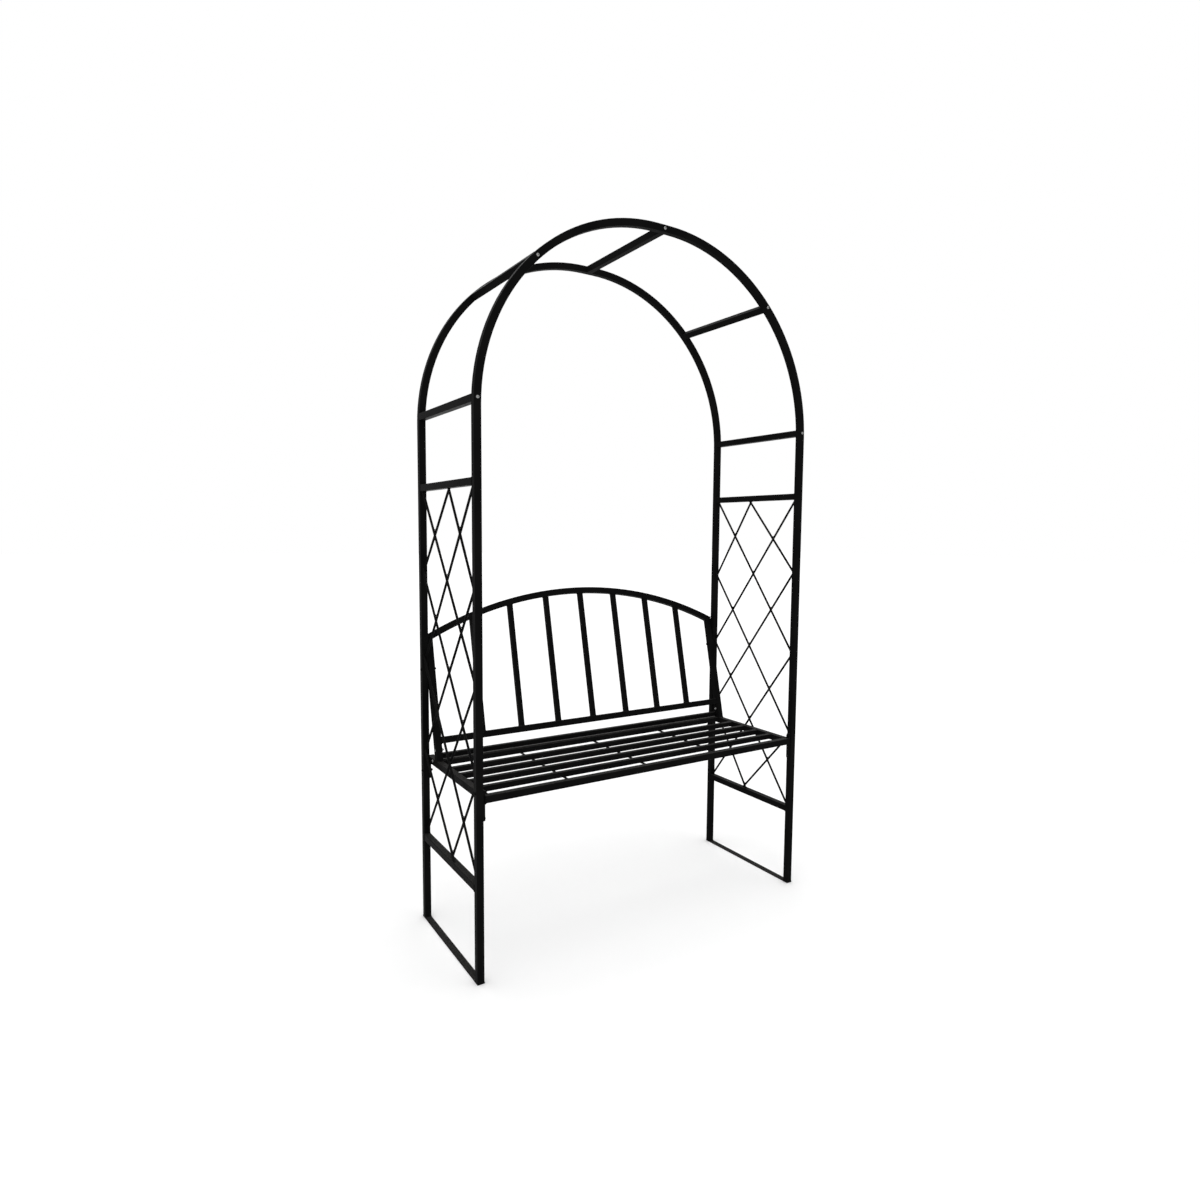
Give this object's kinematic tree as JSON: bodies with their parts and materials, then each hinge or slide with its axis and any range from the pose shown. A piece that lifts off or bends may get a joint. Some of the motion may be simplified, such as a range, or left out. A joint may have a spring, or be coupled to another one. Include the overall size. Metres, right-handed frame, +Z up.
{
  "type": "arbour seat",
  "caption": "Metal garden arbour with an arched top, lattice sides and a slatted bench with a bowed, leaning back.",
  "frame": {"origin": "on the ground, at the middle of the overall width and of the overall depth, from the front bolt heads to the back's crown", "axes": "+Z up; +X to the sitter's left, which is the right-hand side seen from the front; +Y from the front to the back of the seat"},
  "size_m": [1.157, 0.4938, 2.069],
  "materials": {
    "black_paint": "satin black powder coat",
    "black_bolt": "blackened steel bolt",
    "zinc": "worn zinc plate"
  },
  "bodies": {
    "root": {"back_bolts": "black_bolt", "back_foot_bolts": "black_bolt", "back_left_spigot": "black_paint", "back_left_stile": "black_paint", "back_lower_rail": "black_paint", "back_right_spigot": "black_paint", "back_right_stile": "black_paint", "back_spindle_1": "black_paint", "back_spindle_2": "black_paint", "back_spindle_3": "black_paint", "back_spindle_4": "black_paint", "back_spindle_5": "black_paint", "back_spindle_6": "black_paint", "back_spindle_7": "black_paint", "back_top_rail": "black_paint", "front_hoop": "black_paint", "front_lower_bolts": "black_bolt", "joint_spigots": "black_paint", "left_front_lug": "black_paint", "left_front_post": "black_paint", "left_ground_strip": "black_paint", "left_lattice_falling_rods": "black_paint", "left_lattice_rising_rods": "black_paint", "left_lower_crossbar": "black_paint", "left_rear_lug": "black_paint", "left_rear_post": "black_paint", "left_upper_crossbar": "black_paint", "lug_bolts": "black_bolt", "painted_nuts": "black_bolt", "post_captive_nuts": "zinc", "rear_hoop": "black_paint", "right_front_lug": "black_paint", "right_front_post": "black_paint", "right_ground_strip": "black_paint", "right_lattice_falling_rods": "black_paint", "right_lattice_rising_rods": "black_paint", "right_lower_crossbar": "black_paint", "right_rear_lug": "black_paint", "right_rear_post": "black_paint", "right_upper_crossbar": "black_paint", "rung_1": "black_paint", "rung_2": "black_paint", "rung_3": "black_paint", "rung_4": "black_paint", "rung_5": "black_paint", "rung_bolts": "zinc", "rung_nut_plates": "zinc", "seat_cross_rod_left": "black_paint", "seat_cross_rod_middle": "black_paint", "seat_cross_rod_right": "black_paint", "seat_front_rail": "black_paint", "seat_left_bar": "black_paint", "seat_rear_rail": "black_paint", "seat_right_bar": "black_paint", "seat_slat_1": "black_paint", "seat_slat_2": "black_paint", "seat_slat_3": "black_paint", "seat_slat_4": "black_paint", "seat_slat_5": "black_paint", "zinc_nuts": "zinc"}
  },
  "joints": []
}
